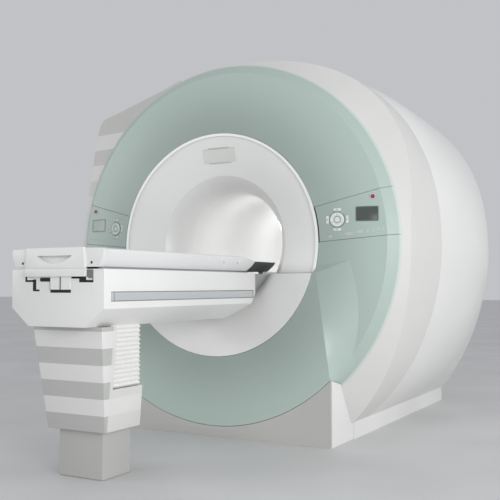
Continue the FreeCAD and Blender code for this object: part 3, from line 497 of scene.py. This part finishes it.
def mark_panel(side, word):
    """Printed marks, borders and key arrows of one control panel."""
    matrix = panel_matrix(side)

    def over(near, far):
        """Places an outline (outwards, up) between two distances out of the panel."""
        return lambda u, v, level: matrix @ Vector((u * side, -(far if level else near), v))

    dial_x = side * (PANEL_X + DIAL[0] * math.cos(PANEL_TURN))
    dial_z = PANEL_Z + DIAL[1]

    def at(u, v):
        return dial_x + side * u * 0.985, dial_z + v

    # the left panel's marks take the darker copy: painted shade
    ink = pale_mark if side > 0 else pale_mark_in_shade
    for number, (left, right, v) in enumerate(PILLS):
        middle = at((left + right) / 2, v)
        wide = right - left
        prism(f"mark_pill_{number}_{word}", rounded(middle, wide, PILL_TALL, 0.0054), on_ring, ink,
              hole=rounded(middle, wide - 2 * THIN, PILL_TALL - 2 * THIN, 0.0038))
        prism(f"mark_bar_{number}_{word}", rounded(middle, wide * 0.45, 0.0026, 0.0012), on_ring, ink)
    for number, spot in enumerate(SPOTS):
        middle = at(*spot)
        prism(f"mark_ring_{number}_{word}", disc(middle, SPOT_REACH), on_ring, ink,
              hole=disc(middle, SPOT_REACH - THIN))
        if number % 2:
            tip = [(middle[0], middle[1] + 0.0034), (middle[0] - 0.003, middle[1] - 0.0022),
                   (middle[0] + 0.003, middle[1] - 0.0022)]
            prism(f"mark_tip_{number}_{word}", tip, on_ring, ink)
        else:
            prism(f"mark_dot_{number}_{word}", disc(middle, 0.0022, 12), on_ring, ink)
    prism(f"stop_collar_{word}", disc(STOP, 0.0145, 36), over(0.0, 0.0022), pale_mark,
          hole=disc(STOP, 0.0106, 36))
    prism(f"dial_border_{word}", disc(DIAL, 0.0392, 48), over(0.0, 0.0016), mark_finish,
          hole=disc(DIAL, 0.0366, 48))
    rim_finish = mark_finish if side > 0 else shaded_mark
    prism(f"display_border_{word}", rounded(DISPLAY, 0.113, 0.073, 0.006), over(0.0, 0.0018), rim_finish,
          hole=rounded(DISPLAY, 0.102, 0.062, 0.003))
    for name, (across, upward) in {"up": (0, 1), "down": (0, -1), "in": (-1, 0), "out": (1, 0)}.items():
        forward = Vector((across, upward))
        sideways = Vector((-upward, across))
        middle = Vector(DIAL) + forward * KEY_REACH
        foot = middle - forward * 0.0022
        corners = [middle + forward * 0.0034, foot + sideways * 0.0042, foot - sideways * 0.0042]
        prism(f"arrow_{name}_{word}", [tuple(corner) for corner in corners], over(0.0036, 0.0043),
              mark_finish, f"key_{name}_{word}")
    for number in range(3):
        turn = math.radians(90 + 120 * number)
        spot = (DIAL[0] + NOTCH_REACH * math.cos(turn), DIAL[1] + NOTCH_REACH * math.sin(turn))
        prism(f"dial_notch_{number}_{word}", disc(spot, 0.0022, 12), over(0.0046, 0.0053),
              mark_finish, f"dial_ring_{word}")


def shade_panel_edge(side, word):
    """Painted shade in the gap between a panel and the funnel's rim."""
    low, high = (math.asin(rise / (FUNNEL + 0.004)) for rise in (-0.004, 0.174))
    steps = 16
    turns = [low + (high - low) * step / steps for step in range(steps + 1)]
    inner, outer = ([(side * reach * math.cos(turn), BORE + reach * math.sin(turn)) for turn in turns]
                    for reach in (FUNNEL + 0.0012, FUNNEL + 0.0062))
    # a dark strip along the gap: painted shade
    prism(f"panel_gap_shade_{word}", inner + outer[::-1], on_ring, dark_and_recess_shade)


# ---------------------------------------------------------------- the table's free end
END = -2.178


def on_end(far, near=-MARK):
    """Places an outline (across, up) in front of the table's end face."""
    return lambda x, z, level: Vector((x, END - (far if level else near), z))


def dress_table_end():
    """Channels and a gap painted as dark shade, latch, guide blocks and brackets under the end plate, and
    the plate's two pins.
    """
    flat = on_end(0.0009)
    # the channels and the gap under the plate are flat dark sheets: painted shade in recesses
    dark = {
        "channel_left": [
            (-0.168, 0.857), (-0.158, 0.857), (-0.158, 0.823), (-0.109, 0.823), (-0.109, 0.782),
            (-0.091, 0.782), (-0.091, 0.775), (-0.126, 0.775), (-0.126, 0.813), (-0.168, 0.813),
        ],
        "channel_right": [
            (0.079, 0.836), (0.158, 0.836), (0.158, 0.820), (0.190, 0.820),
            (0.190, 0.811), (0.119, 0.811), (0.119, 0.826), (0.079, 0.826),
        ],
        "gap_under": [(-0.031, 0.7815), (0.076, 0.7815), (0.076, 0.7695), (-0.031, 0.7695)],
    }
    for name, outline in dark.items():
        prism(f"end_{name}", outline, flat, dark_and_recess_shade)
    prism("end_latch", rounded((-0.057, 0.822), 0.058, 0.015, 0.0055), on_end(0.0028),
          dark_and_recess_shade)
    prism("end_side_gap", rounded((-0.0315, 0.802), 0.0065, 0.045, 0.002), flat, shade_finish)
    prism("end_guide_right", rounded((0.1725, 0.8405), 0.035, 0.043, 0.003), on_end(0.0012),
          shade_finish)
    prism("end_middle_gap", rounded((0.0255, 0.808), 0.011, 0.054, 0.002), on_end(0.0022),
          shade_finish)
    for name, middle in (("left", -0.004), ("right", 0.052)):
        prism(f"end_block_{name}", rounded((middle, 0.808), 0.045, 0.052, 0.003),
              on_end(0.007), white)
    for name, across in (("left", -0.182), ("right", 0.182)):
        prism(f"end_pin_{name}", rounded((across, 0.889), 0.0095, 0.0095, 0.0015),
              on_end(0.0024, near=0.0015), dark_and_recess_shade, body="tabletop")
    for name, across in (("left", -0.140), ("right", 0.1715)):
        bracket = [(across - 0.014, 0.832), (across - 0.014, 0.821), (across + 0.014, 0.821),
                   (across + 0.014, 0.8265), (across - 0.006, 0.8265), (across - 0.006, 0.832)]
        prism(f"end_bracket_{name}", bracket, on_end(0.0045), white)


ACCENT_LOW = 0.738
ACCENT_HIGH = 0.772
ACCENT_NEAR = -2.120
ACCENT_FAR = -0.985
SHADOW_HALF = 0.0012
JOINT_HALF = 0.0016
PIN_PLACES = (-1.262, -1.128)
PIN_HEIGHT = 0.912


def dress_flanks():
    """Thin shadow lines over and under the accent rails, and pins along the tabletop's flank."""
    for side, word in ((-1, "left"), (1, "right")):
        def on_flank(y, z, level):
            return Vector((side * (0.2425 + 0.0016 * level), y, z))

        for name, z in (("top", ACCENT_HIGH + 0.0015), ("bottom", ACCENT_LOW - 0.0015)):
            line = [(ACCENT_NEAR - 0.015, z - SHADOW_HALF), (ACCENT_FAR + 0.015, z - SHADOW_HALF),
                    (ACCENT_FAR + 0.015, z + SHADOW_HALF), (ACCENT_NEAR - 0.015, z + SHADOW_HALF)]
            prism(f"accent_{name}_{word}", line, on_flank, shade_finish)
        for name, y in (("near", ACCENT_NEAR), ("far", ACCENT_FAR)):
            def on_rail(y, z, level):
                return Vector((side * (0.2466 + 0.0008 * level), y, z))

            low, high = ACCENT_LOW + 0.0002, ACCENT_HIGH - 0.0002
            line = [(y - JOINT_HALF, low), (y + JOINT_HALF, low),
                    (y + JOINT_HALF, high), (y - JOINT_HALF, high)]
            prism(f"accent_joint_{name}_{word}", line, on_rail, shade_finish)
        for number, y in enumerate(PIN_PLACES):
            def on_tabletop(y, z, level):
                return Vector((side * (0.2358 + 0.0012 * level + (z - 0.9) * 0.21), y, z))

            prism(f"flank_pin_{number}_{word}", disc((y, PIN_HEIGHT), 0.0032, 12), on_tabletop, shade_finish,
                  "tabletop")


SOCKET_STARTS = (-1.616, -1.488)
SOCKET_HEIGHT = 0.959


def dress_sockets():
    """A base line, a mouth filled with painted shade and two dots on the coil sockets' sides."""
    def on_side(y, z, level):
        return Vector((-0.1816 + 0.0012 * level, y, z))

    for number, near in enumerate(SOCKET_STARTS):
        def on_socket(x, z, level):
            return Vector((x, near + 0.0006 - 0.0012 * level, z))

        # the socket's mouth is a flat dark sheet: painted shade in the opening
        prism(f"socket_mouth_{number}", rounded((-0.209, SOCKET_HEIGHT), 0.034, 0.013, 0.003), on_socket,
              dark_and_recess_shade, "tabletop")
        prism(f"socket_line_{number}", rounded((near + 0.061, 0.9505), 0.114, 0.0022, 0.001), on_side,
              shade_finish, "tabletop")
        prism(f"socket_dot_{number}", disc((near + 0.030 + 0.02 * number, 0.961), 0.004, 14), on_side,
              dark_and_recess_shade, "tabletop")


FUNNEL_SLOPE = 0.07 / 0.22
WINDOW = (0, BORE + 0.486)


def frame_window():
    """A slim border round the lamp window on the funnel's slope."""
    def on_funnel(x, z, level):
        depth = (FUNNEL - math.hypot(x, z - BORE)) * FUNNEL_SLOPE
        return Vector((x, FACE + depth - 0.0022 + 0.003 * level, z))

    prism("window_border", rounded(WINDOW, 0.210, 0.084, 0.008), on_funnel, rim_shade,
          hole=rounded(WINDOW, 0.197, 0.071, 0.005))


dress_frame()
for name, width in SOFTENED.items():
    soften(name, width)
mark_panel(-1, "left")
mark_panel(1, "right")
shade_panel_edge(-1, "left")
shade_panel_edge(1, "right")
dress_table_end()
dress_flanks()
dress_sockets()
frame_window()
lay_floor()
stand_camera()
light_room()
